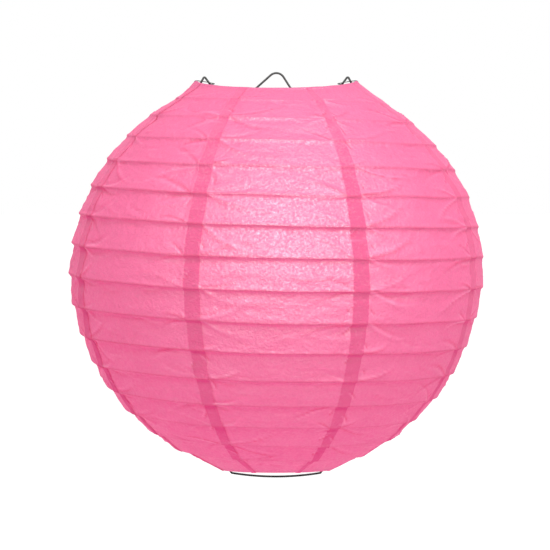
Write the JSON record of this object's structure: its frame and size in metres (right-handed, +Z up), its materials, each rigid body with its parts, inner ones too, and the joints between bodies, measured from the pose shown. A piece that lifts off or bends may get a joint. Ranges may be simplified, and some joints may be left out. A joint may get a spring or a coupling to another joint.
{
  "type": "paper lantern",
  "caption": "Round pink paper lantern on a spiral wire rib, held open by a bent wire expander with a hanging loop; it folds flat when the expander comes out.",
  "frame": {"origin": "where a hook bears on the underside of the expander's hanging loop, above the middle of the top ring", "axes": "+Z up along the lantern's axis, X along the plane of the wire expander, the tabs at +X and -X, -Y towards the front"},
  "size_m": [0.3048, 0.3048, 0.3004],
  "materials": {
    "gore_paper": "crinkled dyed tissue paper, thin enough to glow",
    "hem_paper": "dyed tissue paper, folded double",
    "rib_wire": "bright drawn wire",
    "ring_wire": "zinc-plated wire",
    "expander_wire": "zinc-plated wire, slightly dulled",
    "tab_sheet": "zinc-plated sheet"
  },
  "bodies": {
    "expander": {"expander": "expander_wire"},
    "bottom_rim": {"gore_1": "gore_paper", "gore_2": "gore_paper", "gore_3": "gore_paper", "gore_4": "gore_paper", "gore_5": "gore_paper", "gore_6": "gore_paper", "gore_7": "gore_paper", "gore_8": "gore_paper", "rib_spiral": "rib_wire", "bottom_ring": "ring_wire", "bottom_hem": "hem_paper"},
    "top_rim": {"top_ring": "ring_wire", "top_hem": "hem_paper"},
    "left_tab": {"tab_left": "tab_sheet"},
    "right_tab": {"tab_right": "tab_sheet"}
  },
  "joints": [
    {"name": "lift_off", "type": "slide", "parent": "expander", "child": "bottom_rim", "axis": [0, 0, -1], "range_m": [0, 0.31]},
    {"name": "collapse", "type": "slide", "parent": "bottom_rim", "child": "top_rim", "axis": [0, 0, -1], "range_m": [0, 0.272], "deforming": ["gore_1", "gore_2", "gore_3", "gore_4", "gore_5", "gore_6", "gore_7", "gore_8", "rib_spiral"]},
    {"name": "tab_left_flap", "type": "hinge", "parent": "top_rim", "child": "left_tab", "pos_m": [-0.05886, 0, -0.00625], "axis": [0, -1, 0], "range_deg": [0, 70]},
    {"name": "tab_right_flap", "type": "hinge", "parent": "top_rim", "child": "right_tab", "pos_m": [0.05886, 0, -0.00625], "axis": [0, 1, 0], "range_deg": [0, 70]}
  ]
}
